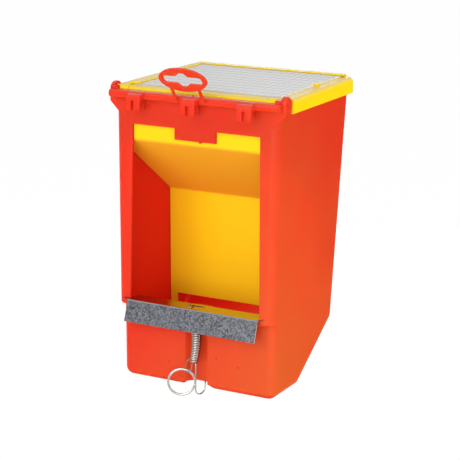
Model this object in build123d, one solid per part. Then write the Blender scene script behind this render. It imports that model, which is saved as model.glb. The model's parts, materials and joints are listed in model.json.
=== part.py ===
from build123d import *
import math
import os

# Automatic rabbit feeder: a moulded hopper with a trough that hangs on the wires of a cage.
# Sizes are in millimetres. X counts from the middle, Y from the front face towards the back,
# and Z from the underside. Every finished piece is then moved so that the origin is the place
# where the cage wire bears in the middle hook.

# Housing
wall = 2.2
half_width_at_base = 69.9
half_width_at_top = 73.7
housing_height = 243.5
underside_end_y = 56.0
rear_foot_y = 120.0
rear_foot_z = 42.5
rear_top_y = 135.3
corner_radius = 7.0
profile_radius = 7.5
trough_setback = 7.0
jamb_foot_z = 64.5
jamb_foot_radius = 1.5
trough_rim_z = 69.0
front_wall_top_z = housing_height - 1.6
rim_gap = 1.0
rim_thickness = 2.2
rim_z = housing_height - 6.6

# Window in the front wall, and the tongue that holds the baffle's lip
window_head = 27.1
window_top_z = housing_height - window_head
window_half_top = half_width_at_top - 16.8
window_half_bottom = half_width_at_base - 10.6
window_edge_radius = 1.5
tongue_half_width = 18.5
tongue_drop = 9.2
tongue_bump_radius = 1.2

# Groove that the spring lies in
groove_depth = 8.0
groove_left = -4.3
groove_right = 8.5
groove_left_ramp = 6.7
groove_right_ramp = 1.5
groove_radius = 2.5
notch_rise = 4.0
notch_ramp = 4.0
notch_length = 16.0

# Rail along the top of the front wall, and the hooks on it
rail_bottom_z = housing_height - 6.0
rail_height = 6.3
rail_depth = 6.6
rail_radius = 2.9
rail_half_length = half_width_at_top + 1.9
hook_pitch = 49.3
hook_width = 12.5
hook_slot = 3.0
hook_prong = 3.2
hook_gap = 10.3
hook_drop = 8.0
hook_crown = 5.2
hook_crown_radius = 3.6
hook_shoulder = 0.4
hook_rib_width = 1.8
hook_rib_x = 3.0
hook_rib_depth = 2.0
hook_corner = 0.8
hook_heel_corner = 0.5
hook_toe_corner = 0.9
hook_shoulder_lap = 0.8
nub_radius = 1.1

# Hinge lugs, pins and knuckles
hinge_y = 6.0
hinge_z = housing_height - 0.4
lug_inner = half_width_at_top + 0.8
lug_thickness = 4.4
lug_radius = 6.0
lug_foot_z = housing_height - 9.0
flare_start_z = housing_height - 21.4
lug_skin = 1.2
lug_corner = 2.0
pin_radius = 2.0
pin_clearance = 0.05
knuckle_radius = 3.6
knuckle_width = 11.0
knuckle_room = 0.45
stop_block_width = 4.4
stop_block_front_y = -2.2
stop_block_lap = 0.5
stop_block_top_z = housing_height + 2.9

# Lid
lid_slope = 1.4
skirt_slope = 0.6
lid_top_at_lugs = housing_height + 2.1
lid_plate = 2.0
lid_skirt = 2.1
lid_skirt_depth = 10.9
lid_half_front = lug_inner + lug_thickness + 0.5
lid_half_rear = half_width_at_top + 4.5
lid_rear_y = rear_top_y + 6.2
lid_rear_radius = 13.0
lid_front_y = 3.6
lid_front_lip = 1.8
lid_front_lip_depth = 2.0
lid_edge_radius = 3.0
lid_gap = 0.3
lug_gap = 0.3

# Record card and the bars and tabs that hold it on the lid
card_half_width = lid_half_rear - 11.4
card_front_y = 16.0
card_rear_y = lid_rear_y - 8.7
card_thickness = 0.6
card_gap = 0.2
bar_height = 1.0
bar_foot = 2.6
left_bar_reach = 6.4
left_bar_thin_reach = 2.6
left_bar_step_y = 58.0
rear_bar_reach = 3.4
tab_length = 5.0
tab_reach = 2.0
tab_y = 81.0
card_corner = 1.5

# Feed baffle
baffle_thickness = 2.0
baffle_gap = 0.3
baffle_top_z = window_top_z + 13.1
baffle_lip_end_z = window_top_z - 13.4
baffle_panel_y = 84.0
baffle_roof_fall = 69.1
baffle_panel_top_z = window_top_z - baffle_roof_fall
baffle_lip_half_width = window_half_top + 4.6
baffle_lip_shoulder = 6.0
baffle_bend_radius = 3.0
feed_gate_z = 53.9
feed_gate_leg = 6.0
feed_gate_radius = 1.5

# Gnaw guard of galvanised sheet
guard_sheet = 0.8
guard_half_length = window_half_bottom + 0.7
guard_shelf_rear_y = 13.0
guard_shelf_front_y = -3.0
guard_drop = 17.3
guard_lean = 6.0
guard_bend_radius = 1.2
guard_left_tab_reach = half_width_at_base - 4.6
guard_right_tab_reach = window_half_bottom + 2.0
guard_tab_room = 2.2
guard_tab_rear_y = 6.4
guard_tab_front_y = 0.3
guard_tab_gap = 0.6
guard_side_gap = 0.4

# Spring wire, spring and fastening hook
spring_wire = 1.1
spring_radius = 3.05
spring_pitch = 1.56
spring_open_pitch = 3.3
spring_open_turns = 1.25
spring_turns = 26.25
spring_y = 5.6
spring_bow_x = 0.4
spring_bow = 2.8
spring_bow_half_length = 22.0
spring_bow_mid_z = 43.5
spring_bend_radius = 1.5
eye_clearance = 0.35
eye_tail = 2.2
guard_hole_radius = 1.3
guard_slot_length = 14.0
guard_slot_width = 2.4
hook_bend_radius = 5.3
hook_bend_z = 0.0
hook_tip_z = 4.6
hook_turn_deg = 70.0

# Link and pull ring
link_wire = 0.9
link_inner_half_width = 2.6
link_play = 0.4
link_coil_deg = 203.0
link_turn_deg = -12.0
ring_radius = 11.0
ring_wire = 1.8
ring_side = 11.4
ring_gap = 0.35
ring_turn_deg = 27.0
ring_drop = 13.9
ring_hang_deg = 26.0

# Display hanger
hanger_half_width = 21.1
hanger_half_height = 10.6
hanger_thickness = 1.8
hanger_ring_lean = 28.0
hanger_centre_y = -20.0
hanger_rise = 21.4
hanger_centre_z = rail_bottom_z + hanger_rise
hanger_leg = 2.0
hanger_leg_depth = 1.6
hanger_leg_left = -12.6
hanger_leg_right = 11.9
hanger_leg_root_z = rail_bottom_z + 2.4
slot_half_length = 17.4
slot_arm_height = 7.0
slot_bump_height = 13.0
slot_bump_half_width = 5.2
slot_bump_run = 3.0
slot_corner = 1.0

# Values worked out from the sizes above. BIG is past everything, BITE is how far a body that is
# joined or cut away runs past the face it meets, and CLOSE tells two heights apart.
SIDE_TAPER = (half_width_at_top - half_width_at_base) / housing_height
REAR_TAPER = (rear_top_y - rear_foot_y) / (housing_height - rear_foot_z)
OVER_TOP = stop_block_top_z + 6 * wall
FRONT_DEPTH = 3 * trough_setback
WIRE_SEAT = (0.0, -hook_gap / 2, rail_bottom_z)
TO_ORIGIN = Location((-WIRE_SEAT[0], -WIRE_SEAT[1], -WIRE_SEAT[2]))
BIG = 400.0
BITE = 1.0
CLOSE = 0.01


def half_width(z):
    """Outer half width of the housing at height z."""
    return half_width_at_base + SIDE_TAPER * z


def block(x0, x1, y0, y1, z0, z1):
    """A box between two corners."""
    return Pos((x0 + x1) / 2, (y0 + y1) / 2, (z0 + z1) / 2) * Box(x1 - x0, y1 - y0, z1 - z0)


def side_prism(outline, x0, x1):
    """A closed outline in the YZ plane, extruded from x0 to x1."""
    return Pos(x0, 0, 0) * extrude(Plane.YZ * make_face(outline), amount=x1 - x0)


def front_prism(outline, y0, y1):
    """A closed outline in the XZ plane, extruded from y0 to y1."""
    front = Plane((0, y0, 0), x_dir=(1, 0, 0), z_dir=(0, -1, 0))
    return extrude(front * make_face(outline), amount=-(y1 - y0))


def below_slope(z_at, y_at, slope):
    """Everything under a plane that rises towards the back by slope degrees."""
    return Pos(0, y_at, z_at) * Rot(slope, 0, 0) * Pos(0, 0, -BIG / 2) * Box(BIG, BIG, BIG)


def cross_rod(x0, x1, radius):
    """A cylinder on the hinge axis from x0 to x1."""
    return Pos((x0 + x1) / 2, hinge_y, hinge_z) * Rot(0, 90, 0) * Cylinder(radius, x1 - x0)


def mirrored(part):
    """The part and its mirror image across the middle."""
    return part + mirror(part, about=Plane.YZ)


# Housing

def tub(front_y, inset):
    """The housing's outer form with its front at front_y, drawn in by inset."""
    corners = [(front_y, 0), (underside_end_y, 0), (rear_foot_y, rear_foot_z)]
    rear_over_top = rear_foot_y + REAR_TAPER * (OVER_TOP - rear_foot_z)
    profile = make_face(Polyline(*corners, (rear_over_top, OVER_TOP), (front_y, OVER_TOP), close=True))
    if inset:
        profile = offset(profile, -inset, kind=Kind.INTERSECTION)
    low = [v for v in profile.vertices() if v.Y < OVER_TOP / 2]
    profile = fillet(low, profile_radius - inset)
    body = Pos(-BIG / 4, 0, 0) * extrude(Plane.YZ * profile, amount=BIG / 2)
    base = half_width(0) - inset
    top = half_width(OVER_TOP) - inset
    sides = Polyline((-base, 0), (base, 0), (top, OVER_TOP), (-top, OVER_TOP), close=True)
    body = body & front_prism(sides, -BIG / 2, BIG / 2)
    top_z = body.bounding_box().max.Z
    edges = ShapeList()
    for face in body.faces():
        if abs(face.normal_at().X) > 0.9:
            edges += [e for e in face.edges() if e.center().Z < top_z - 0.5]
    return fillet(edges, corner_radius - inset)


def front_upper(inset, low_z):
    """The part of the housing in front of the trough's front wall, from low_z up."""
    return tub(0, inset) & block(-BIG, BIG, -BITE, FRONT_DEPTH, low_z, OVER_TOP + BITE)


def groove(grow):
    """The channel in the trough's front for the spring and hook, and its notch in the underside."""
    front = trough_setback
    floor = front + groove_depth
    left_edge = groove_left - groove_left_ramp
    right_edge = groove_right + groove_right_ramp
    points = [(left_edge, front), (groove_left, floor), (groove_right, floor)]
    points += [(right_edge, front), (right_edge, -FRONT_DEPTH), (left_edge, -FRONT_DEPTH)]
    radii = [groove_radius, groove_radius, groove_right_ramp / 2, 0, 0, 0]
    plan = make_face(FilletPolyline(*points, radius=radii, close=True))
    notch_right = right_edge + groove_right_ramp
    low = [(left_edge - notch_ramp, 0), (left_edge, notch_rise), (notch_right, notch_rise)]
    low += [(notch_right + notch_ramp, 0), (notch_right + notch_ramp, -BIG), (left_edge - notch_ramp, -BIG)]
    notch = make_face(Polyline(*low, close=True))
    if grow:
        plan = offset(plan, grow, kind=Kind.INTERSECTION)
        notch = offset(notch, grow, kind=Kind.INTERSECTION)
    upright = Pos(0, 0, -BITE) * extrude(plan, amount=trough_rim_z + BITE)
    plane = Plane((0, -BITE, 0), x_dir=(1, 0, 0), z_dir=(0, -1, 0))
    return upright + extrude(plane * notch, amount=-(floor + notch_length + grow + BITE))


def window():
    """The opening in the front wall, with the tongue left standing in its top edge."""
    low_z = jamb_foot_z - 2 * corner_radius
    spread = (window_half_bottom - window_half_top) / (window_top_z - trough_rim_z)
    low_half = window_half_bottom + spread * (trough_rim_z - low_z)
    points = [(-low_half, low_z), (low_half, low_z), (window_half_top, window_top_z)]
    tongue_z = window_top_z - tongue_drop
    points += [(tongue_half_width, window_top_z), (tongue_half_width, tongue_z)]
    points += [(-tongue_half_width, tongue_z), (-tongue_half_width, window_top_z)]
    points += [(-window_half_top, window_top_z)]
    opening = front_prism(Polyline(*points, close=True), -BITE, trough_setback)
    bump = Pos(tongue_half_width / 4, wall / 2, tongue_z) * Rot(90, 0, 0)
    return opening - bump * Cylinder(tongue_bump_radius, wall)


def hook(x):
    """One double hook on the rail, with its shoulders and the ribs behind its prongs."""
    back = -hook_gap
    front = back - hook_prong
    crown = rail_bottom_z + hook_crown
    points = [(-BITE, rail_bottom_z), (back, rail_bottom_z), (back, rail_bottom_z - hook_drop)]
    points += [(front, rail_bottom_z - hook_drop), (front, crown), (-BITE, crown)]
    radii = [0, hook_corner, hook_heel_corner, hook_toe_corner, hook_crown_radius, 0]
    outline = FilletPolyline(*points, radius=radii, close=True)
    strap = side_prism(outline, x - hook_width / 2, x + hook_width / 2)
    strap = fillet(strap.edges().filter_by(Axis.Z).sort_by(Axis.Y)[:2], hook_corner)
    strap -= block(x - hook_slot / 2, x + hook_slot / 2, front - BITE, back + BITE, 0, rail_bottom_z)
    wide = hook_width / 2 + hook_shoulder
    face = -rail_depth - hook_shoulder_lap
    low = rail_bottom_z + hook_shoulder_lap
    shoulder = block(x - wide, x + wide, face, -BITE, low, rail_bottom_z + rail_height)
    round_edges = shoulder.edges().filter_by(Axis.X).sort_by(Axis.Y)[:2]
    shoulder = fillet(round_edges, rail_radius - hook_shoulder_lap)
    hooked = strap + shoulder
    for side in (-1, 1):
        rib_x = x + side * hook_rib_x
        half = hook_rib_width / 2
        foot = rail_bottom_z - hook_drop
        hooked += block(rib_x - half, rib_x + half, -hook_rib_depth, wall / 2, foot, rail_bottom_z + BITE)
    return hooked


def rail():
    """The rounded bar that runs across the front from lug to lug."""
    top = rail_bottom_z + rail_height
    bar = block(-rail_half_length, rail_half_length, -rail_depth, wall / 2, rail_bottom_z, top)
    bar = fillet(bar.edges().filter_by(Axis.X).sort_by(Axis.Y)[:2], rail_radius)
    nub = Pos(0, -rail_depth / 2, top) * Sphere(nub_radius)
    return bar + nub


def right_lug():
    """A hinge lug with the flared plate that carries it."""
    outer = lug_inner + lug_thickness
    disc = cross_rod(lug_inner, outer, lug_radius)
    foot = block(lug_inner, outer, hinge_y - lug_radius, hinge_y + lug_radius, lug_foot_z, hinge_z)
    lug = disc + foot
    lug = fillet(lug.edges().filter_by(lambda e: e.center().X > outer - CLOSE), lug_corner)
    start = half_width(flare_start_z) - corner_radius
    points = [(start, flare_start_z), (outer, lug_foot_z), (outer, front_wall_top_z), (start, front_wall_top_z)]
    plate = front_prism(Polyline(*points, close=True), 0, wall)
    outer_edge = plate.edges().filter_by(Axis.Z).filter_by(lambda e: e.center().X > outer - CLOSE)
    return lug + fillet(outer_edge.sort_by(Axis.Y)[:1], lug_corner)


def rim():
    """The flange around the hopper's top, hidden under the lid."""
    plate = Pos(0, 0, rim_z) * extrude(lid_plan(lid_skirt + rim_gap), amount=rim_thickness)
    reach = lug_inner + BITE
    return plate + block(-reach, reach, wall, FRONT_DEPTH, rim_z, rim_z + rim_thickness)


def is_jamb_edge(edge):
    """Whether an edge is one of the window's upright edges in the front face."""
    middle = edge.center()
    upright = edge.length > (window_top_z - trough_rim_z) / 2
    near, far = sorted((window_half_top, window_half_bottom))
    return upright and near - BITE < abs(middle.X) < far + BITE and abs(middle.Y) < CLOSE


def make_housing():
    """Hopper, trough, rail, hooks and lugs, moulded in one."""
    shell = tub(trough_setback, 0)
    upper = front_upper(0, jamb_foot_z)
    foot = [e for e in upper.edges() if abs(e.center().Z - jamb_foot_z) < CLOSE]
    foot_edges = [e for e in foot if e.center().Y < FRONT_DEPTH - BITE]
    shell += fillet(foot_edges, jamb_foot_radius)
    shell += rim()
    hollow = tub(trough_setback, wall) - groove(wall)
    shell = shell - hollow - front_upper(wall, trough_rim_z) - groove(0) - window()
    shell &= below_slope(lid_top_at_lugs - lid_plate - lid_gap, hinge_y, lid_slope)
    shell -= block(-BIG, BIG, -BITE, wall, front_wall_top_z, OVER_TOP)
    shell += rail()
    for x in (-hook_pitch, 0, hook_pitch):
        shell += hook(x)
    shell += mirrored(right_lug())
    stop_outer = lug_inner + stop_block_lap
    stop_inner = stop_outer - stop_block_width
    stop = block(stop_inner, stop_outer, stop_block_front_y, wall, rail_bottom_z, stop_block_top_z)
    shell += mirrored(stop)
    room = knuckle_radius + knuckle_room
    notch_inner = lug_inner - knuckle_width - 2 * knuckle_room
    notch = cross_rod(notch_inner, lug_inner, room)
    notch += block(notch_inner, lug_inner, wall, hinge_y + room, hinge_z, OVER_TOP)
    shell -= mirrored(notch)
    bore_end = lug_inner + lug_thickness - lug_skin
    shell -= mirrored(cross_rod(lug_inner - BITE, bore_end, pin_radius + pin_clearance))
    slit_top = trough_rim_z + guard_sheet + guard_tab_gap
    slit_rear = guard_tab_rear_y + guard_side_gap
    slit_start = window_half_bottom - BITE
    left_end = guard_left_tab_reach + guard_side_gap
    right_end = guard_right_tab_reach + guard_tab_room
    shell -= block(-left_end, -slit_start, -BITE, slit_rear, trough_rim_z, slit_top)
    shell -= block(slit_start, right_end, -BITE, slit_rear, trough_rim_z, slit_top)
    jamb_edges = [e for e in shell.edges() if is_jamb_edge(e)]
    return fillet(jamb_edges, window_edge_radius)


# Lid and record card

def lid_z(y):
    """Height of the lid's top face at depth y."""
    return lid_top_at_lugs + (y - hinge_y) * math.tan(math.radians(lid_slope))


def lid_plan(inset):
    """Plan outline of the lid behind its lugs, drawn in by inset."""
    front = hinge_y + lug_radius + 2 * lug_gap
    points = [(-lid_half_front, front), (-lid_half_rear, lid_rear_y)]
    points += [(lid_half_rear, lid_rear_y), (lid_half_front, front)]
    outline = FilletPolyline(*points, radius=[0, lid_rear_radius, lid_rear_radius, 0], close=True)
    plan = make_face(outline)
    if inset:
        plan = offset(plan, -inset, kind=Kind.INTERSECTION)
    return plan


def make_lid():
    """Lid plate with its skirt, hinge knuckles and pins, and the bars that hold the card."""
    front = hinge_y + lug_radius + 2 * lug_gap
    low = lid_top_at_lugs - lid_skirt_depth
    inner_half = lug_inner - lug_gap
    top = below_slope(lid_top_at_lugs, hinge_y, lid_slope)
    under = below_slope(lid_top_at_lugs - lid_plate, hinge_y, lid_slope)
    foot = low - lid_skirt_depth
    cap = Pos(0, 0, foot) * extrude(lid_plan(0), amount=OVER_TOP - foot)
    cap += block(-inner_half, inner_half, lid_front_y, front + BITE, foot, OVER_TOP)
    cap = (cap & top) - below_slope(low, front, skirt_slope)
    rim_edges = [e for e in cap.edges() if abs(e.center().Z - lid_z(e.center().Y)) < lid_plate / 10]
    cap = fillet(rim_edges, lid_edge_radius)
    hollow = Pos(0, 0, foot) * extrude(lid_plan(lid_skirt), amount=OVER_TOP - foot)
    side = lid_half_front - lid_skirt
    lip_back = lid_front_y + lid_front_lip
    hollow += block(-side, side, lip_back, front + 3 * lid_skirt, foot, OVER_TOP)
    lip_end_z = lid_top_at_lugs - lid_plate - lid_front_lip_depth
    hollow += block(-BIG, BIG, 0, lip_back + BITE, foot, lip_end_z)
    lid = cap - (hollow & under)
    knuckle_outer = lug_inner - lug_gap
    lid += mirrored(cross_rod(knuckle_outer - knuckle_width, knuckle_outer, knuckle_radius))
    pin_end = lug_inner + lug_thickness - lug_skin - lug_gap
    lid += mirrored(cross_rod(knuckle_outer - knuckle_width / 2, pin_end, pin_radius))
    return lid + card_holders()


def sloped(part):
    """Lays a part drawn with its foot at z = 0 and y counted along the lid on the lid's top face."""
    return Pos(0, hinge_y, lid_top_at_lugs) * Rot(lid_slope, 0, 0) * Pos(0, -hinge_y, 0) * part


def holder(x0, x1, y0, y1, side):
    """A bar or tab: a foot on the lid and a lip over the card. side is where the foot stands."""
    lift = card_thickness + card_gap
    lip = block(x0, x1, y0, y1, lift, lift + bar_height)
    foot = {
        "left": (x0, x0 + bar_foot, y0, y1),
        "right": (x1 - bar_foot, x1, y0, y1),
        "rear": (x0, x1, y1 - bar_foot, y1),
    }[side]
    part = lip + block(*foot, -lid_plate / 2, lift + bar_height)
    upper = part.edges().filter_by(lambda e: e.center().Z > lift + bar_height - CLOSE)
    return fillet(upper, bar_height / 2)


def card_holders():
    """The left bar, the rear bar and the tab on the right."""
    edge = card_half_width + card_gap
    rear = card_rear_y + card_gap
    outer = edge + bar_foot
    bars = holder(-outer, -edge + left_bar_reach, card_front_y, left_bar_step_y, "left")
    bars += holder(-outer, -edge + left_bar_thin_reach, left_bar_step_y - BITE, rear, "left")
    bars += holder(-outer, outer, rear - rear_bar_reach, rear + bar_foot, "rear")
    bars += holder(edge - tab_reach, outer, tab_y - tab_length / 2, tab_y + tab_length / 2, "right")
    return sloped(bars)


def make_record_card():
    """The card that lies on the lid."""
    card = block(-card_half_width, card_half_width, card_front_y, card_rear_y, 0, card_thickness)
    return sloped(fillet(card.edges().filter_by(Axis.Z), card_corner))


# Feed baffle

def make_feed_baffle():
    """The folded insert: lip, sloping roof over the trough, and back panel with the feed gate."""
    front = wall + baffle_gap
    roof = math.atan2(baffle_lip_end_z - baffle_panel_top_z, baffle_panel_y - front)
    lip_back = front + baffle_thickness
    panel_back = baffle_panel_y + baffle_thickness
    lip_shift = baffle_thickness * math.tan((math.pi / 2 - roof) / 2)
    points = [(front, baffle_top_z), (front, baffle_lip_end_z), (baffle_panel_y, baffle_panel_top_z)]
    points += [(baffle_panel_y, 0), (panel_back, 0), (panel_back, baffle_panel_top_z + lip_shift)]
    points += [(lip_back, baffle_lip_end_z + lip_shift), (lip_back, baffle_top_z)]
    inner = baffle_bend_radius
    outer = baffle_bend_radius + baffle_thickness
    outline = FilletPolyline(*points, radius=[0, outer, inner, 0, 0, outer, inner, 0], close=True)
    baffle = side_prism(outline, -half_width_at_top, half_width_at_top)
    baffle &= tub(trough_setback, wall + baffle_gap) + front_upper(wall + baffle_gap, trough_rim_z)
    lip_foot = baffle_lip_end_z - baffle_lip_shoulder
    lip = block(-BIG, -baffle_lip_half_width, 0, lip_back + BITE, lip_foot, OVER_TOP)
    baffle -= mirrored(lip)
    gate_half = half_width(feed_gate_z) - wall - baffle_gap - feed_gate_leg
    gate = block(-gate_half, gate_half, baffle_panel_y - BITE, panel_back + BITE, 0, feed_gate_z)
    gate = fillet(gate.edges().filter_by(Axis.Y).sort_by(Axis.Z)[-2:], feed_gate_radius)
    return baffle - gate


# Gnaw guard

def make_gnaw_guard():
    """Folded sheet over the trough's front edge, with a tab at each end and the spring's holes."""
    top = trough_rim_z + guard_sheet
    front = guard_shelf_front_y
    length = math.hypot(guard_lean, guard_drop)
    inward = (guard_drop / length * guard_sheet, -guard_lean / length * guard_sheet)
    toe = (front - guard_lean, top - guard_drop)
    half_turn = math.atan2(guard_drop, guard_lean) / 2
    inner_front = front + guard_sheet / math.tan(math.pi / 2 - half_turn)
    points = [(guard_shelf_rear_y, trough_rim_z), (guard_shelf_rear_y, top), (front, top), toe]
    points += [(toe[0] + inward[0], toe[1] + inward[1]), (inner_front, trough_rim_z)]
    bend = guard_bend_radius
    outline = FilletPolyline(*points, radius=[0, 0, bend, 0, 0, bend - guard_sheet / 2], close=True)
    guard = side_prism(outline, -guard_half_length, guard_half_length)
    trim = window_half_bottom - guard_side_gap
    guard -= mirrored(block(trim, BIG, -BITE, BIG, trough_rim_z - BITE, top + BITE))
    for x0, x1 in ((-guard_left_tab_reach, BITE - trim), (trim - BITE, guard_right_tab_reach)):
        guard += block(x0, x1, guard_tab_front_y, guard_tab_rear_y, trough_rim_z, top)
    hole_x = eye_x()
    reach = math.sqrt(spring_radius ** 2 - (top - guard_sheet / 2 - eye_z()) ** 2)
    hole = Pos(hole_x, spring_y - reach, top) * Cylinder(guard_hole_radius, 4 * guard_sheet)
    slot_y = spring_y + reach
    slot = block(hole_x - guard_slot_length / 3, hole_x + guard_slot_length * 2 / 3,
                 slot_y - guard_slot_width / 2, slot_y + guard_slot_width / 2, 0, OVER_TOP)
    return guard - hole - slot


# Spring, fastening hook, link and pull ring

def bow_x(z):
    """Sideways place of the spring's bowed centre line at height z."""
    return spring_bow_x - spring_bow * ((z - spring_bow_mid_z) / spring_bow_half_length) ** 2


def spring_top_z():
    """Height of the first turn, one bend and one wire under the guard."""
    return trough_rim_z - spring_bend_radius - 2 * spring_wire


def spring_drop(turn):
    """How far the wire has come down after a number of turns."""
    close_turns = spring_turns - spring_open_turns
    opened = max(0.0, turn - close_turns)
    return spring_pitch * min(turn, close_turns) + spring_open_pitch * opened


def coil_point(turn):
    """A point of the wire's centre line, turning clockwise from the rear as it comes down."""
    z = spring_top_z() - spring_drop(turn)
    angle = math.pi / 2 - 2 * math.pi * turn
    return Vector(bow_x(z) + spring_radius * math.cos(angle), spring_y + spring_radius * math.sin(angle), z)


def coil_tangent(turn):
    """Direction of the wire, level at both ends where the bends take over."""
    step = 1e-4
    ahead = coil_point(turn + step) - coil_point(turn - step)
    if turn in (0, spring_turns):
        ahead = Vector(ahead.X, ahead.Y, 0)
    return ahead.normalized()


def eye_x():
    """Sideways place of the spring's top eye."""
    return coil_point(0).X - spring_bend_radius


def eye_z():
    """Height of the eye's centre, so that its wire clears the sheet it goes over."""
    over_sheet = trough_rim_z + guard_sheet + eye_clearance + spring_wire / 2 - spring_radius
    return max(over_sheet, spring_top_z() + spring_bend_radius + spring_wire)


def shank_place():
    """Plan place of the straight wire under the spring."""
    end = coil_point(spring_turns)
    ahead = coil_tangent(spring_turns)
    return end + ahead * spring_bend_radius - Vector(0, 0, spring_bend_radius)


def biarc(p0, t0, p1, t1):
    """Two arcs from p0 to p1 that leave along t0, arrive along t1 and share a tangent between."""
    span = p1 - p0
    total = t0 + t1
    bend = 2 * (1 - t0.dot(t1))
    reach = (math.sqrt(span.dot(total) ** 2 + bend * span.dot(span)) - span.dot(total)) / bend
    join = (p0 + p1 + (t0 - t1) * reach) * 0.5
    middle = ((p1 - t1 * reach) - (p0 + t0 * reach)).normalized()
    return [Edge.make_tangent_arc(p0, t0, join), Edge.make_tangent_arc(join, middle, p1)]


def wire_sweep(edges, diameter):
    """A round wire along joined edges."""
    path = Wire(edges)
    start = Plane(origin=path @ 0, z_dir=path % 0)
    return sweep(start * Circle(diameter / 2), path=path)


def make_tension_spring():
    """Bowed, close wound spring: a turned-up eye through the guard, the turns, and a bend down."""
    up = Vector(0, 0, 1)
    first = coil_point(0)
    leg = Vector(eye_x(), first.Y, first.Z + spring_bend_radius)
    shoulder = Vector(leg.X, leg.Y, eye_z())
    tip_side = Vector(leg.X, spring_y - spring_radius, shoulder.Z)
    tip = tip_side - up * eye_tail
    crown = Vector(leg.X, spring_y, shoulder.Z + spring_radius)
    edges = [Edge.make_line(tip, tip_side), Edge.make_three_point_arc(tip_side, crown, shoulder)]
    edges += [Edge.make_line(shoulder, leg), Edge.make_tangent_arc(leg, up * -1, first)]
    halves = int(spring_turns * 2)
    stops = [half / 2 for half in range(halves + 1)]
    if stops[-1] < spring_turns:
        stops.append(spring_turns)
    for a, b in zip(stops, stops[1:]):
        edges += biarc(coil_point(a), coil_tangent(a), coil_point(b), coil_tangent(b))
    low = shank_place()
    edges += [Edge.make_tangent_arc(coil_point(spring_turns), coil_tangent(spring_turns), low)]
    edges += [Edge.make_line(low, low - up * spring_wire)]
    return wire_sweep(edges, spring_wire)


def make_fastening_hook():
    """Straight shank below the spring, turned up under the trough into a hook."""
    top = shank_place() - Vector(0, 0, spring_wire)
    away = Vector(math.cos(math.radians(hook_turn_deg)), math.sin(math.radians(hook_turn_deg)), 0)
    low = Vector(top.X, top.Y, hook_bend_z)
    turned = low + away * (2 * hook_bend_radius)
    bottom = low + away * hook_bend_radius - Vector(0, 0, hook_bend_radius)
    tip = Vector(turned.X, turned.Y, hook_tip_z)
    edges = [Edge.make_line(top, low), Edge.make_three_point_arc(low, bottom, turned)]
    edges += [Edge.make_line(turned, tip)]
    return wire_sweep(edges, spring_wire)


def ring_frame():
    """Centre, sideways direction and facing direction of the pull ring, in front of the shank."""
    side = Vector(math.cos(math.radians(ring_turn_deg)), math.sin(math.radians(ring_turn_deg)), 0)
    face = Vector(side.Y, -side.X, 0)
    shank = shank_place()
    centre = Vector(shank.X, shank.Y, 0) - side * ring_side
    centre += face * ((spring_wire + ring_wire) / 2 + ring_gap)
    centre.Z = shank.Z - ring_drop
    return centre, side, face


def make_pull_ring():
    """The wire ring that is pulled by hand."""
    centre, side, face = ring_frame()
    return Plane(origin=centre, x_dir=side, z_dir=face) * Torus(ring_radius, ring_wire / 2)


def ring_contact():
    """Where the link holds the ring."""
    centre, side, face = ring_frame()
    angle = math.radians(ring_hang_deg)
    return centre + side * (ring_radius * math.sin(angle)) + Vector(0, 0, ring_radius * math.cos(angle))


def coil_contact():
    """Where the link goes round the spring's lowest turn."""
    end_angle = math.pi / 2 - 2 * math.pi * spring_turns
    back = (math.radians(link_coil_deg) - end_angle) % (2 * math.pi)
    return coil_point(spring_turns - back / (2 * math.pi))


def make_ring_link():
    """The small oval link between the spring's lowest turn and the pull ring."""
    low, high = ring_contact(), coil_contact()
    along = (high - low).normalized()
    wide = Vector(math.cos(math.radians(link_turn_deg)), math.sin(math.radians(link_turn_deg)), 0)
    wide = (wide - along * wide.dot(along)).normalized()
    half = link_inner_half_width + link_wire / 2
    bottom = low - along * (ring_wire / 2 + link_play + link_wire / 2 - half)
    top = high + along * (spring_wire / 2 + link_play + link_wire / 2 - half)
    edges = [Edge.make_line(bottom - wide * half, top - wide * half)]
    edges += [Edge.make_three_point_arc(top - wide * half, top + along * half, top + wide * half)]
    edges += [Edge.make_line(top + wide * half, bottom + wide * half)]
    edges += [Edge.make_three_point_arc(bottom + wide * half, bottom - along * half, bottom - wide * half)]
    return wire_sweep(edges, link_wire)


# Display hanger

def make_display_hanger():
    """Snap-off tag with a long slot, on two thin legs that root in the rail."""
    upright = Plane((0, hanger_centre_y, hanger_centre_z), x_dir=(1, 0, 0), z_dir=(0, -1, 0))
    tilt = upright.rotated((hanger_ring_lean, 0, 0))
    arm = slot_arm_height / 2
    bump = slot_bump_height / 2
    edge = slot_bump_half_width
    slant = edge - slot_bump_run
    right = [(slot_half_length, -arm), (slot_half_length, arm), (edge, arm), (slant, bump)]
    left = [(-x, y) for x, y in right]
    points = [(slant, -bump), (edge, -arm)] + right + [left[3], left[2], left[1], left[0]]
    points += [(-edge, -arm), (-slant, -bump)]
    round_end = arm - slot_corner / 5
    corner_pair = [slot_corner, slot_corner]
    end_pair = [round_end, round_end]
    radii = corner_pair + end_pair + 2 * corner_pair + end_pair + corner_pair
    slot = make_face(FilletPolyline(*points, radius=radii, close=True))
    oval = Ellipse(hanger_half_width, hanger_half_height) - slot
    tag = tilt * extrude(oval, amount=hanger_thickness / 2, both=True)
    legs = []
    for root_x in (hanger_leg_left, hanger_leg_right):
        share = 1 - (root_x / hanger_half_width) ** 2
        ring_low = tilt.from_local_coords((root_x, BITE - hanger_half_height * math.sqrt(share), 0))
        root = Vector(root_x, BITE / 10 - rail_depth, hanger_leg_root_z)
        reach = ring_low - root
        seat = Plane(origin=root, x_dir=(1, 0, 0), z_dir=reach.normalized())
        legs.append(extrude(seat * Rectangle(hanger_leg, hanger_leg_depth), amount=reach.length))
    return tag + legs[0] + legs[1]


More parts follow.
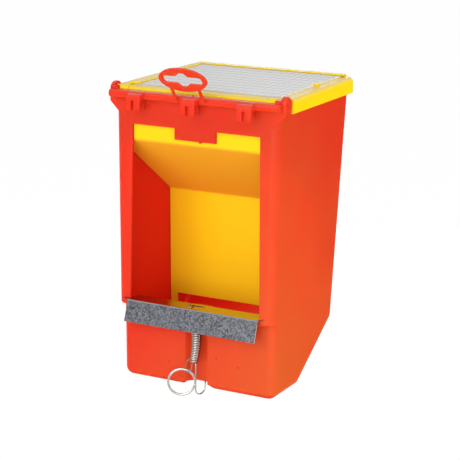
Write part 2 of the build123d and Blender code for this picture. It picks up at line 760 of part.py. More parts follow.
def least_gap_to_itself():
    """Least clear distance between one stretch of the spring's wire and the next turn."""
    per_turn = 48
    points = [coil_point(step / per_turn) for step in range(int(spring_turns * per_turn) + 1)]
    least = BIG
    for i, point in enumerate(points):
        for other in points[i + per_turn // 2: i + 2 * per_turn]:
            least = min(least, (other - point).length)
    return least - spring_wire


os.makedirs("parts", exist_ok=True)
rail_face = block(-BIG, BIG, -rail_depth, BIG, 0, OVER_TOP)
pieces = {
    "housing": make_housing(),
    "lid": make_lid(),
    "record_card": make_record_card(),
    "feed_baffle": make_feed_baffle(),
    "gnaw_guard": make_gnaw_guard(),
    "tension_spring": make_tension_spring(),
    "fastening_hook": make_fastening_hook(),
    "ring_link": make_ring_link(),
    "pull_ring": make_pull_ring(),
    "display_hanger": make_display_hanger() - rail_face,
}
for name, piece in pieces.items():
    export_step(TO_ORIGIN * piece, f"parts/{name}.step")
print("least gap in the spring", round(least_gap_to_itself(), 3))
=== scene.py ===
import json
import math

import bmesh
import bpy
from mathutils import Matrix, Vector


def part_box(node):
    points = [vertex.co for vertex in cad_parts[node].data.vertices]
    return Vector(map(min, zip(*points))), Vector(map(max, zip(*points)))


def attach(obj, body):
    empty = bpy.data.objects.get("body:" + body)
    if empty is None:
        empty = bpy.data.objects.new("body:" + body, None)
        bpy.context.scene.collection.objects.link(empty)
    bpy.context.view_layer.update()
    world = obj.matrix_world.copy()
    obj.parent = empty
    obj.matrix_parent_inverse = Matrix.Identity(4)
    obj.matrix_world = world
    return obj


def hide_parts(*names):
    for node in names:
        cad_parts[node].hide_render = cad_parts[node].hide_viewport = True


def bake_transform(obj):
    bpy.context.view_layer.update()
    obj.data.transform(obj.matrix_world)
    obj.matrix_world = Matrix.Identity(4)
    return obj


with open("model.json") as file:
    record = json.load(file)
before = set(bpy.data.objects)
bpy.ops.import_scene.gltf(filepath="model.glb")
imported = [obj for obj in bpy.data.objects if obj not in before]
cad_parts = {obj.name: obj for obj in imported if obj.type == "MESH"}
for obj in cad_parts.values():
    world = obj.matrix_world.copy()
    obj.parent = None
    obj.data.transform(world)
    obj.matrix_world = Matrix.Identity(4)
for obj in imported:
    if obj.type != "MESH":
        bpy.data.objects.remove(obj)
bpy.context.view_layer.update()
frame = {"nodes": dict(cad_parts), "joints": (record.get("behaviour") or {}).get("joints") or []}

bl_info = {
    "name": "Automatic rabbit feeder",
    "version": (1, 0, 0),
    "blender": (4, 5, 0),
    "location": "3D View > Sidebar > Feeder",
    "description": "Finishes and wire forms of a hopper feeder that hooks on a cage",
    "category": "Object",
}

MM = 0.001
# The drawing counts X from the middle, Y from the front face and Z from the underside of the trough.
FRONT_FACE_Y = 5.15 * MM
UNDERSIDE_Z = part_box("housing")[0].z
# Places and sizes of the drawing, in millimetres: how far back the trough's face and the spring's axis
# are, the height of the spring's top turn, the link's wire, and half the width of the ring's flat wire.
TROUGH_FACE = 7.0
SPRING_Y = 5.6
SPRING_TOP = 65.3
LINK_GAUGE = 0.9
RING_HALF_WIDTH = 0.9


def place(x, y, z):
    """A place of the drawing, in millimetres, as a point of the frame."""
    return Vector((x * MM, y * MM + FRONT_FACE_Y, z * MM + UNDERSIDE_Z))


# Settings

class FeederColours(bpy.types.PropertyGroup):
    """Colours of the moulded, printed and plated surfaces, as sRGB hex."""
    # The red pales toward the lower right and deepens toward the upper left: painted light, stronger toward
    # the lower right.
    red: bpy.props.StringProperty(
        name="Red", description="Housing and display hanger, toward the lower right", default="E0602A")
    red_deep: bpy.props.StringProperty(
        name="Red, deep", description="Housing and display hanger, toward the upper left", default="E2361E")
    yellow: bpy.props.StringProperty(name="Yellow", description="Lid", default="FCD61C")
    insert: bpy.props.StringProperty(name="Insert", description="Feed baffle", default="FCD420")
    insert_below: bpy.props.StringProperty(
        name="Insert, below", description="Faces that the red trough throws its light on", default="FFB12B")
    card: bpy.props.StringProperty(name="Card", description="Face of the record card", default="F4F4F2")
    rule: bpy.props.StringProperty(name="Rules", description="Printed lines of the card", default="A6A6B0")
    zinc_dark: bpy.props.StringProperty(name="Zinc, dark", description="Dark crystals", default="3E3F43")
    zinc_light: bpy.props.StringProperty(name="Zinc, light", description="Light crystals", default="6F7076")
    wire: bpy.props.StringProperty(name="Wire", description="Drawn spring wire", default="C4B8B0")
    plated: bpy.props.StringProperty(name="Plating", description="Nickel on the ring", default="BDBAB2")
    darker_plated: bpy.props.StringProperty(name="Darker plating", description="Nickel on the link", default="8E8475")


class FeederWire(bpy.types.PropertyGroup):
    """Sizes of the spring, its hook and the pull ring, in millimetres."""
    gauge: bpy.props.FloatProperty(name="Wire", description="Diameter of the spring wire", default=1.3)
    coil: bpy.props.FloatProperty(name="Coil radius", description="To the middle of the wire", default=3.8)
    foot: bpy.props.FloatProperty(name="End radius", description="Of the first and last turn", default=3.05)
    turns: bpy.props.FloatProperty(name="Turns", description="Close and opened turns", default=28.25)
    bow: bpy.props.FloatProperty(name="Bow", description="How far the spring bows sideways", default=2.8)
    ring: bpy.props.FloatProperty(name="Ring radius", description="To the middle of the ring", default=11.0)


class FeederCamera(bpy.types.PropertyGroup):
    """The place that the feeder is seen from."""
    azimuth: bpy.props.FloatProperty(
        name="Azimuth", description="Round from the front, in degrees", default=27.381)
    elevation: bpy.props.FloatProperty(
        name="Elevation", description="Above the horizon, in degrees", default=13.781)
    roll: bpy.props.FloatProperty(name="Roll", description="Turn of the picture, in degrees", default=0.876)
    distance: bpy.props.FloatProperty(
        name="Distance", description="In metres", default=1.23978, unit="LENGTH")
    lens: bpy.props.FloatProperty(name="Lens", description="Focal length in millimetres", default=122.77)


def settings(name):
    """One group of settings of the scene."""
    return getattr(bpy.context.scene, name)


# Materials

def linear(hex_colour):
    """An sRGB hex colour as linear RGBA."""
    channels = [int(hex_colour[i:i + 2], 16) / 255 for i in (0, 2, 4)]
    return [c / 12.92 if c <= 0.04045 else ((c + 0.055) / 1.055) ** 2.4 for c in channels] + [1.0]


def add(tree, kind, values=None, links=None, **options):
    """A node with its options, its input values and the outputs linked to its inputs."""
    node = tree.nodes.new(kind)
    for option, value in options.items():
        setattr(node, option, value)
    for socket, value in (values or {}).items():
        node.inputs[socket].default_value = value
    for socket, output in (links or {}).items():
        tree.links.new(output, node.inputs[socket])
    return node


def new_material(name):
    """An empty node material: the material, its tree and its Object coordinates in millimetres."""
    material = bpy.data.materials.new(name)
    material.use_nodes = True
    tree = material.node_tree
    tree.nodes.clear()
    coordinates = add(tree, "ShaderNodeTexCoord")
    scaled = add(tree, "ShaderNodeVectorMath", {1: (1 / MM,) * 3}, {0: coordinates.outputs["Object"]},
                 operation="MULTIPLY")
    return material, tree, scaled.outputs[0]


def shade(tree, values, links):
    """The surface shader and the material's output."""
    shader = add(tree, "ShaderNodeBsdfPrincipled", values, links)
    add(tree, "ShaderNodeOutputMaterial", links={"Surface": shader.outputs["BSDF"]})


def facing_of_face(tree):
    """How far the face itself looks up, and how far to a side, in the object's own directions."""
    facing = add(tree, "ShaderNodeNewGeometry")
    turned = add(tree, "ShaderNodeVectorTransform", links={"Vector": facing.outputs["True Normal"]},
                 vector_type="NORMAL", convert_from="WORLD", convert_to="OBJECT")
    parts = add(tree, "ShaderNodeSeparateXYZ", links={"Vector": turned.outputs[0]})
    sideways = add(tree, "ShaderNodeMath", links={0: parts.outputs["X"]}, operation="ABSOLUTE")
    return parts.outputs["Z"], sideways.outputs[0]


def softened(tree, radius, height, strength, distance):
    """A normal with edges rounded to radius and a height pattern pressed into it, in millimetres."""
    edge = add(tree, "ShaderNodeBevel", {"Radius": radius * MM}, samples=6)
    bump = add(tree, "ShaderNodeBump", {"Strength": strength, "Distance": distance * MM},
               {"Height": height, "Normal": edge.outputs[0]})
    return bump.outputs[0]


def moulding_marks(tree, position):
    """1 at the small dark marks that the moulding left on the trough's face, 0 elsewhere."""
    core, rim = 0.5, 1.1
    marks = None
    for x, z in ((-26.1, 18.4), (18.0, 28.5), (38.1, 23.9)):
        centre = place(x, TROUGH_FACE, z) / MM
        away = add(tree, "ShaderNodeVectorMath", {1: centre}, {0: position}, operation="DISTANCE")
        mark = add(tree, "ShaderNodeMapRange", {"From Min": rim, "From Max": core},
                   {"Value": away.outputs["Value"]})
        if marks is None:
            marks = mark
        else:
            marks = add(tree, "ShaderNodeMath", links={0: marks.outputs[0], 1: mark.outputs[0]},
                        operation="MAXIMUM")
    return marks.outputs[0]


def moulded_tint_with_painted_light(tree, position, flow, colour, deep):
    """The moulding's colour: deeper along the flow, with the small marks, and painted light that deepens it
    toward the upper left and pales it toward the lower right.
    """
    # The share of the deep colour changes by so much for each millimetre to the right, back and up. This
    # slope is painted light: the red pales and turns orange where more light falls.
    change, share_at_origin, flow_share, mark_share = (-0.0055, 0.0025, 0.003), 1.06, 0.3, 0.6
    slope = add(tree, "ShaderNodeVectorMath", {1: change}, {0: position}, operation="DOT_PRODUCT")
    drift = add(tree, "ShaderNodeMath", {1: share_at_origin}, {0: slope.outputs["Value"]}, operation="ADD")
    share = add(tree, "ShaderNodeMath", {1: flow_share}, {0: flow, 2: drift.outputs[0]},
                operation="MULTIPLY_ADD")
    painted_light_tint = add(tree, "ShaderNodeMix", {"A": linear(colour), "B": linear(deep)},
                 {"Factor": share.outputs[0]}, data_type="RGBA")
    marks = add(tree, "ShaderNodeMath", {1: mark_share}, {0: moulding_marks(tree, position)},
                operation="MULTIPLY")
    marked = add(tree, "ShaderNodeMix", {"B": linear("8E1A0C")},
                 {"Factor": marks.outputs[0], "A": painted_light_tint.outputs["Result"]}, data_type="RGBA")
    return marked.outputs["Result"]


def moulded_gloss(tree, upward, sideways, downward, front_gloss, top_gloss):
    """The moulding's gloss: full on tops, faint in front, none on the sides and below."""
    lit = add(tree, "ShaderNodeMapRange", {"To Min": front_gloss, "To Max": 0.0}, {"Value": downward})
    dulled = add(tree, "ShaderNodeMapRange", {"From Min": 0.75, "From Max": 0.97, "To Max": 0.0},
                 {"Value": sideways, "To Min": lit.outputs[0]})
    gloss = add(tree, "ShaderNodeMapRange", {"From Min": 0.15, "From Max": 0.9, "To Max": top_gloss},
                {"Value": upward, "To Min": dulled.outputs[0]})
    return gloss.outputs[0]


def polypropylene(name, colour, deep, below, front_gloss, top_gloss, clearness):
    """Moulded polypropylene: a smooth, slightly waxy skin with slow flow marks, clear to red light."""
    material, tree, position = new_material(name)
    # Flow marks drift over about 45 mm. The tool's texture is finer than 0.7 mm, which is as fine as shows.
    flow_length, texture_size = 45, 0.7
    flow = add(tree, "ShaderNodeTexNoise", {"Scale": 1 / flow_length, "Detail": 2.0}, {"Vector": position})
    texture = add(tree, "ShaderNodeTexNoise", {"Scale": 1 / texture_size, "Detail": 1.0},
                  {"Vector": position})
    marked = moulded_tint_with_painted_light(tree, position, flow.outputs["Fac"], colour, deep)
    upward, sideways = facing_of_face(tree)
    # Faces that look down take the below colour: painted light, for the light that the red trough throws up
    # on them.
    downward = add(tree, "ShaderNodeMapRange", {"From Min": -0.2, "From Max": -0.6}, {"Value": upward})
    tint = add(tree, "ShaderNodeMix", {"B": linear(below)}, {"Factor": downward.outputs[0], "A": marked},
               data_type="RGBA")
    dull = add(tree, "ShaderNodeMapRange", {"To Min": 0.2, "To Max": 0.3}, {"Value": flow.outputs["Fac"]})
    gloss = moulded_gloss(tree, upward, sideways, downward.outputs[0], front_gloss, top_gloss)
    normal = softened(tree, radius=0.45, height=texture.outputs["Fac"], strength=0.06, distance=0.1)
    # Red light goes about 10 mm into the wall, green and blue hardly at all.
    shade(tree,
          {"IOR": 1.49, "Subsurface Weight": clearness, "Subsurface Radius": (1.0, 0.06, 0.05),
           "Subsurface Scale": 10 * MM},
          {"Base Color": tint.outputs["Result"], "Roughness": dull.outputs[0], "Normal": normal,
           "Specular IOR Level": gloss})
    return material


def galvanised_sheet(dark, light):
    """Hot-dip galvanised sheet: fine zinc crystals, painted highlights on the cut ends and fold, a shelf
    smoothed by use with a painted warm reflection.
    """
    material, tree, position = new_material("galvanised_sheet_spangled")
    # The crystals are about 1.2 mm across, with a finer mottle of 0.5 mm.
    crystal_size, mottle_size, warp_size, warp_reach = 1.2, 0.5, 1.5, 1.3
    warp = add(tree, "ShaderNodeTexNoise", {"Scale": 1 / warp_size, "Detail": 2.0}, {"Vector": position})
    pushed = add(tree, "ShaderNodeVectorMath", {1: (warp_reach,) * 3},
                 {0: warp.outputs["Color"], 2: position}, operation="MULTIPLY_ADD")
    crystal = add(tree, "ShaderNodeTexVoronoi", {"Scale": 1 / crystal_size}, {"Vector": pushed.outputs[0]})
    mottle = add(tree, "ShaderNodeTexNoise", {"Scale": 1 / mottle_size, "Detail": 3.0},
                 {"Vector": position})
    both = add(tree, "ShaderNodeMix", {"Factor": 0.45},
               {"A": crystal.outputs["Color"], "B": mottle.outputs["Color"]}, data_type="RGBA")
    grey = add(tree, "ShaderNodeRGBToBW", links={"Color": both.outputs["Result"]})
    spread = add(tree, "ShaderNodeMapRange", {"From Min": 0.3, "From Max": 0.7}, {"Value": grey.outputs[0]})
    tint = add(tree, "ShaderNodeMix", {"A": linear(dark), "B": linear(light)},
               {"Factor": spread.outputs[0]}, data_type="RGBA")
    upward, sideways = facing_of_face(tree)
    # The fold and the cut ends get painted highlights; the top of the shelf is smoothed by use and gets a
    # painted warm reflection of the yellow and red inside.
    folded = add(tree, "ShaderNodeMapRange", {"From Min": 0.35, "From Max": 0.6, "To Max": 0.7},
                 {"Value": upward})
    cut = add(tree, "ShaderNodeMapRange", {"From Min": 0.8, "From Max": 0.95}, {"Value": sideways})
    rubbed_and_painted_reflection = add(tree, "ShaderNodeMapRange", {"From Min": 0.94, "From Max": 1.0}, {"Value": upward})
    # Painted highlights on the fold and cut ends; wear and a painted reflection on the shelf.
    for area, colour in ((folded, "B4B9BC"), (cut, "E4E6EA"), (rubbed_and_painted_reflection, "B8B2A8")):
        tint = add(tree, "ShaderNodeMix", {"B": linear(colour)},
                   {"Factor": area.outputs[0], "A": tint.outputs["Result"]}, data_type="RGBA")
    rough = add(tree, "ShaderNodeMapRange", {"To Min": 0.42, "To Max": 0.2}, {"Value": rubbed_and_painted_reflection.outputs[0]})
    normal = softened(tree, radius=0.15, height=grey.outputs[0], strength=0.12, distance=0.1)
    shade(tree, {"Metallic": 1.0},
          {"Base Color": tint.outputs["Result"], "Roughness": rough.outputs[0], "Normal": normal})
    return material


def metal_wire(name, colour, roughness, change_length):
    """Drawn or plated wire: bright metal whose gloss changes slowly along it."""
    material, tree, position = new_material(name)
    bright, darker_share = linear(colour), 0.82
    darker = [channel * darker_share for channel in bright[:3]] + [1.0]
    change = add(tree, "ShaderNodeTexNoise", {"Scale": 1 / change_length, "Detail": 2.0},
                 {"Vector": position})
    tint = add(tree, "ShaderNodeMix", {"A": bright, "B": darker}, {"Factor": change.outputs["Fac"]},
               data_type="RGBA")
    rough = add(tree, "ShaderNodeMapRange", {"To Min": roughness - 0.05, "To Max": roughness + 0.08},
                {"Value": change.outputs["Fac"]})
    bump = add(tree, "ShaderNodeBump", {"Strength": 0.08, "Distance": 0.05 * MM},
               {"Height": change.outputs["Fac"]})
    shade(tree, {"Metallic": 1.0},
          {"Base Color": tint.outputs["Result"], "Roughness": rough.outputs[0], "Normal": bump.outputs[0]})
    return material


def printed_card(face, rule):
    """Coated card: a pale, faintly fibrous face with rows and columns of printed rules."""
    material, tree, position = new_material("coated_card_printed")
    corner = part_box("record_card")[0]
    # The card is seen at a low angle, so its rules are drawn wider than printed ones, for them to show.
    row_pitch, row_width, column_pitch, column_width = 11.2, 1.3, 6.2, 0.6
    fibre_size, ink = 1.2, 0.7
    apart = add(tree, "ShaderNodeSeparateXYZ", links={"Vector": position})
    lines = None
    for axis, pitch, width, start in (("X", column_pitch, column_width, corner.x / MM),
                                      ("Y", row_pitch, row_width, corner.y / MM)):
        shifted = add(tree, "ShaderNodeMath", {1: start}, {0: apart.outputs[axis]}, operation="SUBTRACT")
        inside = add(tree, "ShaderNodeMath", {1: pitch}, {0: shifted.outputs[0]}, operation="MODULO")
        line = add(tree, "ShaderNodeMath", {1: width}, {0: inside.outputs[0]}, operation="LESS_THAN")
        if lines is None:
            lines = line
        else:
            lines = add(tree, "ShaderNodeMath", links={0: lines.outputs[0], 1: line.outputs[0]},
                        operation="MAXIMUM")
    fibre = add(tree, "ShaderNodeTexNoise", {"Scale": 1 / fibre_size, "Detail": 3.0}, {"Vector": position})
    faint = add(tree, "ShaderNodeMath", {1: ink}, {0: lines.outputs[0]}, operation="MULTIPLY")
    tint = add(tree, "ShaderNodeMix", {"A": linear(face), "B": linear(rule)}, {"Factor": faint.outputs[0]},
               data_type="RGBA")
    bump = add(tree, "ShaderNodeBump", {"Strength": 0.1, "Distance": 0.05 * MM},
               {"Height": fibre.outputs["Fac"]})
    shade(tree, {"Roughness": 0.45}, {"Base Color": tint.outputs["Result"], "Normal": bump.outputs[0]})
    return material


MATERIALS = {}


def make_materials():
    """Every finish of the feeder, by the record's material slot or by the piece that differs from it."""
    colours = settings("feeder_colours")
    MATERIALS["red_plastic"] = polypropylene(
        "polypropylene_red_moulded", colours.red, deep=colours.red_deep, below="E2421E",
        front_gloss=0.12, top_gloss=0.6, clearness=0.7)
    MATERIALS["yellow_plastic"] = polypropylene(
        "polypropylene_yellow_moulded", colours.yellow, deep="FCD81A", below="FACC18",
        front_gloss=0.03, top_gloss=0.5, clearness=0.0)
    MATERIALS["yellow_insert"] = polypropylene(
        "polypropylene_yellow_insert", colours.insert, deep="FACC1C", below=colours.insert_below,
        front_gloss=0.03, top_gloss=0.5, clearness=0.0)
    MATERIALS["white_card"] = printed_card(colours.card, colours.rule)
    MATERIALS["galvanised_sheet"] = galvanised_sheet(colours.zinc_dark, colours.zinc_light)
    MATERIALS["spring_steel"] = metal_wire(
        "spring_steel_drawn", colours.wire, roughness=0.22, change_length=6.0)
    MATERIALS["nickel_wire"] = metal_wire(
        "nickel_plated_wire", colours.plated, roughness=0.16, change_length=4.0)
    # The link takes a darker copy of the plated wire.
    MATERIALS["darker_nickel"] = metal_wire(
        "nickel_plated_wire_darker", colours.darker_plated, roughness=0.3, change_length=2.0)


# Pieces

def finish_node(node, slot, finish=None):
    """Gives a node of the frame its finish."""
    shown = frame["nodes"][node]
    shown.data.materials.clear()
    shown.data.materials.append(MATERIALS[finish or slot])


def show_piece(name, mesh, slot, finish=None):
    """A new piece of the scene with its finish, or else its slot's material."""
    mesh.materials.clear()
    mesh.materials.append(MATERIALS[finish or slot])
    piece = bpy.data.objects.new(name, mesh)
    bpy.context.scene.collection.objects.link(piece)
    return piece


def wire_piece(name, points, diameter, slot, closed=False, finish=None):
    """A round wire along points: a bevelled line made a mesh, with its doubles merged."""
    curve = bpy.data.curves.new(name + "_line", "CURVE")
    curve.dimensions = "3D"
    curve.bevel_depth = diameter * MM / 2
    curve.bevel_resolution = 4
    curve.use_fill_caps = not closed
    spline = curve.splines.new("POLY")
    spline.points.add(len(points) - 1)
    for knot, point in zip(spline.points, points):
        knot.co = (*point, 1.0)
    spline.use_cyclic_u = closed
    holder = bpy.data.objects.new(name + "_line", curve)
    mesh = bpy.data.meshes.new_from_object(holder)
    bpy.data.objects.remove(holder)
    skin = bmesh.new()
    skin.from_mesh(mesh)
    bmesh.ops.remove_doubles(skin, verts=skin.verts, dist=diameter * MM / 100)
    bmesh.ops.recalc_face_normals(skin, faces=skin.faces)
    smooth_sides(skin)
    skin.to_mesh(mesh)
    skin.free()
    mesh.name = name
    return show_piece(name, mesh, slot, finish)


def smooth_sides(skin):
    """Smooths a wire's round sides and leaves its end faces flat."""
    for face in skin.faces:
        face.smooth = len(face.verts) <= 4


def arc(centre, start, end, radius, across, up, steps):
    """Points of a round bend from angle start to end, in the plane of across and up."""
    turns = [start + (end - start) * step / steps for step in range(steps + 1)]
    return [centre + across * radius * math.cos(a) + up * radius * math.sin(a) for a in turns]


def joint_place(name):
    """Where a joint of the frame turns."""
    return Vector(next(j for j in frame["joints"] if j["name"] == name)["pos_m"])


def coil_line(wire, end_z, open_turns, open_pitch):
    """The spring's wire as it winds down: close turns that lean with the bow, then opened ones."""
    bow_middle_z, bow_half_length, right, steps_per_turn = 43.5, 22.0, 0.4, 32
    # The radius and the lean grow over the first turns, and shrink over the last ones.
    turns_in, turns_out = 3, 15
    close_turns = wire.turns - open_turns
    close_drop = SPRING_TOP - end_z - open_turns * open_pitch
    points = []
    for step in range(round(wire.turns * steps_per_turn) + 1):
        turn = step / steps_per_turn
        left_over = wire.turns - turn
        opened = max(0.0, turn - close_turns)
        z = SPRING_TOP - close_drop * (turn - opened) / close_turns - open_pitch * opened
        bend = (z - bow_middle_z) / bow_half_length
        lean = math.atan(-2 * wire.bow * bend / bow_half_length)
        lean *= min(1.0, turn / turns_in, left_over / open_turns)
        radius = wire.foot + (wire.coil - wire.foot) * min(1.0, turn / turns_in, left_over / turns_out)
        angle = math.pi / 2 - 2 * math.pi * turn
        sideways = radius * math.cos(angle)
        x = right - wire.bow * bend ** 2 + sideways * math.cos(lean)
        points.append(place(x, SPRING_Y + radius * math.sin(angle), z - sideways * math.sin(lean)))
    return points


def spring_line():
    """The whole wire from the eye over the guard to the hook under the trough."""
    wire = settings("feeder_wire")
    right, back, up = Vector((1, 0, 0)), Vector((0, 1, 0)), Vector((0, 0, 1))
    turns = coil_line(wire, end_z=22.175, open_turns=1.25, open_pitch=2.4)
    eye, eye_radius, eye_end, bend = joint_place("spring_swing"), wire.foot * MM, 2.2 * MM, 1.5 * MM
    line = [eye - back * eye_radius - up * eye_end]
    line += arc(eye, math.pi, 0, eye_radius, back, up, steps=24)
    line += arc(turns[0] + up * bend, math.pi, 1.5 * math.pi, bend, right, up, steps=8)[:-1]
    line += turns
    line += arc(turns[-1] - up * bend, math.pi / 2, 0, bend, back * -1, up, steps=8)[1:]
    shank = line[-1]
    hook_turn, hook_radius, hook_tip = math.radians(70), 5.3 * MM, 4.6 * MM
    away = Vector((math.cos(hook_turn), math.sin(hook_turn), 0))
    low = Vector((shank.x, shank.y, UNDERSIDE_Z))
    line += [shank.lerp(low, share / 6) for share in range(1, 6)]
    line += arc(low + away * hook_radius, math.pi, 2 * math.pi, hook_radius, away, up, steps=24)
    line.append(line[-1] + up * hook_tip)
    return line


def link_line():
    """The oval link: two straight sides and two round ends, round the spring's wire and the ring."""
    low, high = joint_place("ring_swing"), joint_place("link_swing")
    along = (high - low).normalized()
    turn = math.radians(-12)
    wide = Vector((math.cos(turn), math.sin(turn), 0))
    wide = (wide - along * wide.dot(along)).normalized()
    end_radius, play, over_wire = 3.05 * MM, 0.4, 0.6
    bottom = low - along * ((RING_HALF_WIDTH + play + LINK_GAUGE / 2) * MM - end_radius)
    top = high + along * ((over_wire + LINK_GAUGE / 2) * MM - end_radius)
    line = arc(top, 0, math.pi, end_radius, wide, along, steps=20)
    return line + arc(bottom, math.pi, 2 * math.pi, end_radius, wide, along, steps=20)


def place_ring():
    """The pull ring's place: from lying flat round the origin, in millimetres, to the frame."""
    low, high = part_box("pull_ring")
    turn = math.radians(27)
    side = Vector((math.cos(turn), math.sin(turn), 0))
    face = Vector((side.y, -side.x, 0))
    turned = Matrix((side, face.cross(side), face)).transposed().to_4x4()
    return Matrix.Translation((low + high) / 2) @ turned @ Matrix.Scale(MM, 4)


def split_ring():
    """The pull ring's mesh: flat wire wound twice round, with a short crossing between the rounds."""
    half_thickness, rise_between = 0.42, 0.86
    round_angle, crossing_angle, steps_per_round = 345, 24, 72
    wound = bmesh.new()
    profile = bmesh.ops.create_circle(wound, segments=14, radius=1.0)["verts"]
    bmesh.ops.scale(wound, vec=(RING_HALF_WIDTH, half_thickness, 1.0), verts=profile)
    upright = Matrix.Rotation(math.pi / 2, 3, "X")
    bmesh.ops.rotate(wound, cent=(0, 0, 0), matrix=upright, verts=profile)
    bmesh.ops.translate(wound, vec=(settings("feeder_wire").ring, 0, -rise_between / 2), verts=profile)
    bmesh.ops.holes_fill(wound, edges=wound.edges[:], sides=0)
    last = list(profile) + wound.edges[:]
    for angle, rise in ((round_angle, 0.0), (crossing_angle, rise_between), (round_angle, 0.0)):
        steps = max(4, int(steps_per_round * angle / 360))
        rim = [part for part in last if not isinstance(part, bmesh.types.BMFace)]
        last = bmesh.ops.spin(wound, geom=rim, cent=(0, 0, 0), axis=(0, 0, 1), dvec=(0, 0, rise / steps),
                              angle=math.radians(angle), steps=steps, use_duplicate=False)["geom_last"]
    bmesh.ops.edgeloop_fill(wound, edges=[part for part in last if isinstance(part, bmesh.types.BMEdge)])
    bmesh.ops.remove_doubles(wound, verts=wound.verts, dist=0.001)
    bmesh.ops.recalc_face_normals(wound, faces=wound.faces)
    smooth_sides(wound)
    wound.transform(place_ring())
    mesh = bpy.data.meshes.new("split_pull_ring")
    wound.to_mesh(mesh)
    wound.free()
    return mesh


class FEEDER_OT_materials(bpy.types.Operator):
    """Makes the finishes"""
    bl_idname = "feeder.materials"
    bl_label = "Finishes"

    def execute(self, context):
        make_materials()
        return {"FINISHED"}


class FEEDER_OT_mouldings(bpy.types.Operator):
    """Finishes the housing, the lid, the baffle and the display hanger"""
    bl_idname = "feeder.mouldings"
    bl_label = "Mouldings"

    def execute(self, context):
        finish_node("housing", "red_plastic")
        finish_node("display_hanger", "red_plastic")
        finish_node("lid", "yellow_plastic")
        finish_node("feed_baffle", "yellow_plastic", "yellow_insert")
        return {"FINISHED"}


class FEEDER_OT_card(bpy.types.Operator):
    """Prints the record card"""
    bl_idname = "feeder.card"
    bl_label = "Record card"

    def execute(self, context):
        finish_node("record_card", "white_card")
        return {"FINISHED"}


class FEEDER_OT_guard(bpy.types.Operator):
    """Finishes the gnaw guard"""
    bl_idname = "feeder.guard"
    bl_label = "Gnaw guard"

    def execute(self, context):
        finish_node("gnaw_guard", "galvanised_sheet")
        return {"FINISHED"}


class FEEDER_OT_spring(bpy.types.Operator):
    """Winds the spring and its hook from one wire"""
    bl_idname = "feeder.spring"
    bl_label = "Spring and hook"

    def execute(self, context):
        wire = settings("feeder_wire")
        piece = wire_piece("spring_with_hook", spring_line(), wire.gauge, "spring_steel")
        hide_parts("tension_spring", "fastening_hook")
        # The wire goes over from the spring to the hook between the spring's top and its opened turns.
        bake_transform(piece)
        return {"FINISHED"}


class FEEDER_OT_ring(bpy.types.Operator):
    """Makes the link, and the pull ring of two flat rounds"""
    bl_idname = "feeder.ring"
    bl_label = "Pull ring and link"

    def execute(self, context):
        link = wire_piece("oval_link", link_line(), LINK_GAUGE, "nickel_wire", closed=True,
                          finish="darker_nickel")
        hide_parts("ring_link")
        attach(link, "link")
        piece = show_piece("split_pull_ring", split_ring(), "nickel_wire")
        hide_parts("pull_ring")
        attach(piece, "ring")
        return {"FINISHED"}


# Stage

# Each lamp's name, place and aim in metres, width in metres and power in watts. The one in the hopper
# stands for the daylight that falls through the walls onto the feed gate.
LAMPS = (
    ("key", (0.0, -2.1, 0.6), (0.0, 0.05, -0.15), 1.8, 30.0),
    ("fill", (0.7, -1.7, -0.15), (0.0, 0.05, -0.12), 0.8, 5.0),
    ("side", (2.2, 0.3, 0.5), (0.0, 0.05, -0.15), 0.8, 18.5),
    ("spark", (-0.35, -2.0, 1.3), (0.0, 0.05, -0.1), 0.1, 2.0),
    ("back", (-0.6, 2.0, -0.2), (0.0, 0.1, -0.15), 0.8, 12.0),
    ("hopper", (0.0, 0.108, -0.13), (0.0, 0.09, -0.23), 0.03, 0.015),
)


class FEEDER_OT_stage(bpy.types.Operator):
    """Sets the pale floor, the surround and the lamps"""
    bl_idname = "feeder.stage"
    bl_label = "Stage"

    def execute(self, context):
        make_floor()
        make_world()
        for lamp in LAMPS:
            add_lamp(*lamp)
        return {"FINISHED"}


def add_camera():
    """A camera at the photograph's place, with its lens."""
    seen = settings("feeder_camera")
    azimuth, elevation, roll = (math.radians(a) for a in (seen.azimuth, seen.elevation, seen.roll))
    back = Vector((math.sin(azimuth) * math.cos(elevation), -math.cos(azimuth) * math.cos(elevation),
                   math.sin(elevation)))
    level = Vector((math.cos(azimuth), math.sin(azimuth), 0))
    rise = back.cross(level)
    right = level * math.cos(roll) + rise * math.sin(roll)
    up = rise * math.cos(roll) - level * math.sin(roll)
    data = bpy.data.cameras.new("camera")
    data.lens = seen.lens
    data.sensor_width = 36.0
    data.clip_start = 0.01
    camera = bpy.data.objects.new("camera", data)
    # The picture's middle falls on this place of the front face.
    aim = place(32.582, 0, 139.671)
    turned = Matrix((right, up, back)).transposed().to_4x4()
    camera.matrix_world = Matrix.Translation(aim + back * seen.distance) @ turned
    bpy.context.scene.collection.objects.link(camera)
    bpy.context.scene.camera = camera


def seen_directly(tree):
    """1 for rays that show the stage itself or mirror it, 0 for rays that carry its light."""
    path = add(tree, "ShaderNodeLightPath")
    either = add(tree, "ShaderNodeMath",
                 links={0: path.outputs["Is Camera Ray"], 1: path.outputs["Is Glossy Ray"]},
                 operation="MAXIMUM")
    return add(tree, "ShaderNodeMath", links={0: either.outputs[0], 1: path.outputs["Is Transmission Ray"]},
               operation="MAXIMUM").outputs[0]


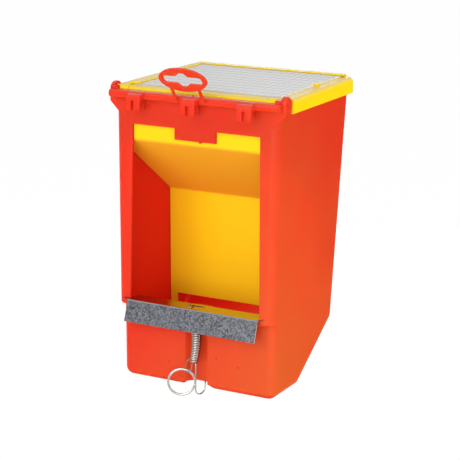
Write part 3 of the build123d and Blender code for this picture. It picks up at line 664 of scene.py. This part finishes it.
def make_floor():
    """A wide pale floor well below the feeder, which hangs free of it."""
    half_width, drop = 12.0, 0.35
    sheet = bmesh.new()
    bmesh.ops.create_grid(sheet, x_segments=1, y_segments=1, size=half_width)
    bmesh.ops.translate(sheet, vec=(0, 0, UNDERSIDE_Z - drop), verts=sheet.verts)
    mesh = bpy.data.meshes.new("floor")
    sheet.to_mesh(mesh)
    sheet.free()
    material = bpy.data.materials.new("studio_floor_white")
    material.use_nodes = True
    tree = material.node_tree
    tree.nodes.clear()
    # A tenth of what is seen is the lit floor with its shadow, and the glow brings the sum to white.
    glow_share, glow_strength = 0.9, 1.06
    matt = add(tree, "ShaderNodeBsdfDiffuse", {"Color": linear("F4F4F4")})
    glow = add(tree, "ShaderNodeEmission", {"Color": (1, 1, 1, 1), "Strength": glow_strength})
    share = add(tree, "ShaderNodeMath", {1: glow_share}, {0: seen_directly(tree)}, operation="MULTIPLY")
    mixed = add(tree, "ShaderNodeMixShader",
                links={0: share.outputs[0], 1: matt.outputs[0], 2: glow.outputs[0]})
    add(tree, "ShaderNodeOutputMaterial", links={"Surface": mixed.outputs[0]})
    mesh.materials.append(material)
    floor = bpy.data.objects.new("floor", mesh)
    bpy.context.scene.collection.objects.link(floor)


def make_world():
    """A white surround that is seen as white, and lights the feeder more from the horizon than above."""
    horizon_light, ceiling_light, ceiling_height = 0.85, 0.3, 0.7
    world = bpy.data.worlds.new("surround")
    world.use_nodes = True
    tree = world.node_tree
    tree.nodes.clear()
    direction = add(tree, "ShaderNodeTexCoord")
    height = add(tree, "ShaderNodeSeparateXYZ", links={"Vector": direction.outputs["Generated"]})
    shining = add(tree, "ShaderNodeMapRange",
                  {"From Max": ceiling_height, "To Min": horizon_light, "To Max": ceiling_light},
                  {"Value": height.outputs["Z"]})
    strength = add(tree, "ShaderNodeMapRange", {"To Max": 1.0},
                   {"Value": seen_directly(tree), "To Min": shining.outputs[0]})
    light = add(tree, "ShaderNodeBackground", {"Color": (1, 1, 1, 1)}, {"Strength": strength.outputs[0]})
    add(tree, "ShaderNodeOutputWorld", links={"Surface": light.outputs[0]})
    bpy.context.scene.world = world


def add_lamp(name, position, aim, size, power):
    """A square soft lamp that faces a point and isn't seen itself."""
    data = bpy.data.lights.new(name, "AREA")
    data.size = size
    data.energy = power
    lamp = bpy.data.objects.new(name, data)
    lamp.location = position
    lamp.visible_camera = False
    lamp.rotation_euler = (Vector(aim) - Vector(position)).to_track_quat("-Z", "Y").to_euler()
    bpy.context.scene.collection.objects.link(lamp)


class FEEDER_PT_panel(bpy.types.Panel):
    """Lists the steps and settings of the feeder"""
    bl_label = "Rabbit feeder"
    bl_idname = "FEEDER_PT_panel"
    bl_space_type = "VIEW_3D"
    bl_region_type = "UI"
    bl_category = "Feeder"

    def draw(self, context):
        for step in STEPS:
            self.layout.operator(step)
        for group in GROUPS:
            held = getattr(context.scene, group)
            for key in held.bl_rna.properties.keys():
                if key not in ("rna_type", "name"):
                    self.layout.prop(held, key)


GROUPS = {"feeder_colours": FeederColours, "feeder_wire": FeederWire, "feeder_camera": FeederCamera}
OPERATORS = (FEEDER_OT_materials, FEEDER_OT_mouldings, FEEDER_OT_card, FEEDER_OT_guard, FEEDER_OT_spring,
             FEEDER_OT_ring, FEEDER_OT_stage)
STEPS = [operator.bl_idname for operator in OPERATORS]


def register():
    for group in GROUPS.values():
        bpy.utils.register_class(group)
    for name, group in GROUPS.items():
        setattr(bpy.types.Scene, name, bpy.props.PointerProperty(type=group))
    for operator in OPERATORS:
        bpy.utils.register_class(operator)
    bpy.utils.register_class(FEEDER_PT_panel)


def unregister():
    bpy.utils.unregister_class(FEEDER_PT_panel)
    for operator in reversed(OPERATORS):
        bpy.utils.unregister_class(operator)
    for name, group in GROUPS.items():
        delattr(bpy.types.Scene, name)
        bpy.utils.unregister_class(group)


def main():
    """Makes the camera, the pieces and the stage."""
    register()
    bpy.context.scene.view_settings.view_transform = "Standard"
    add_camera()
    bpy.ops.feeder.materials()
    bpy.ops.feeder.mouldings()
    bpy.ops.feeder.card()
    bpy.ops.feeder.guard()
    bpy.ops.feeder.spring()
    bpy.ops.feeder.ring()
    bpy.ops.feeder.stage()


if __name__ == "__main__":
    main()
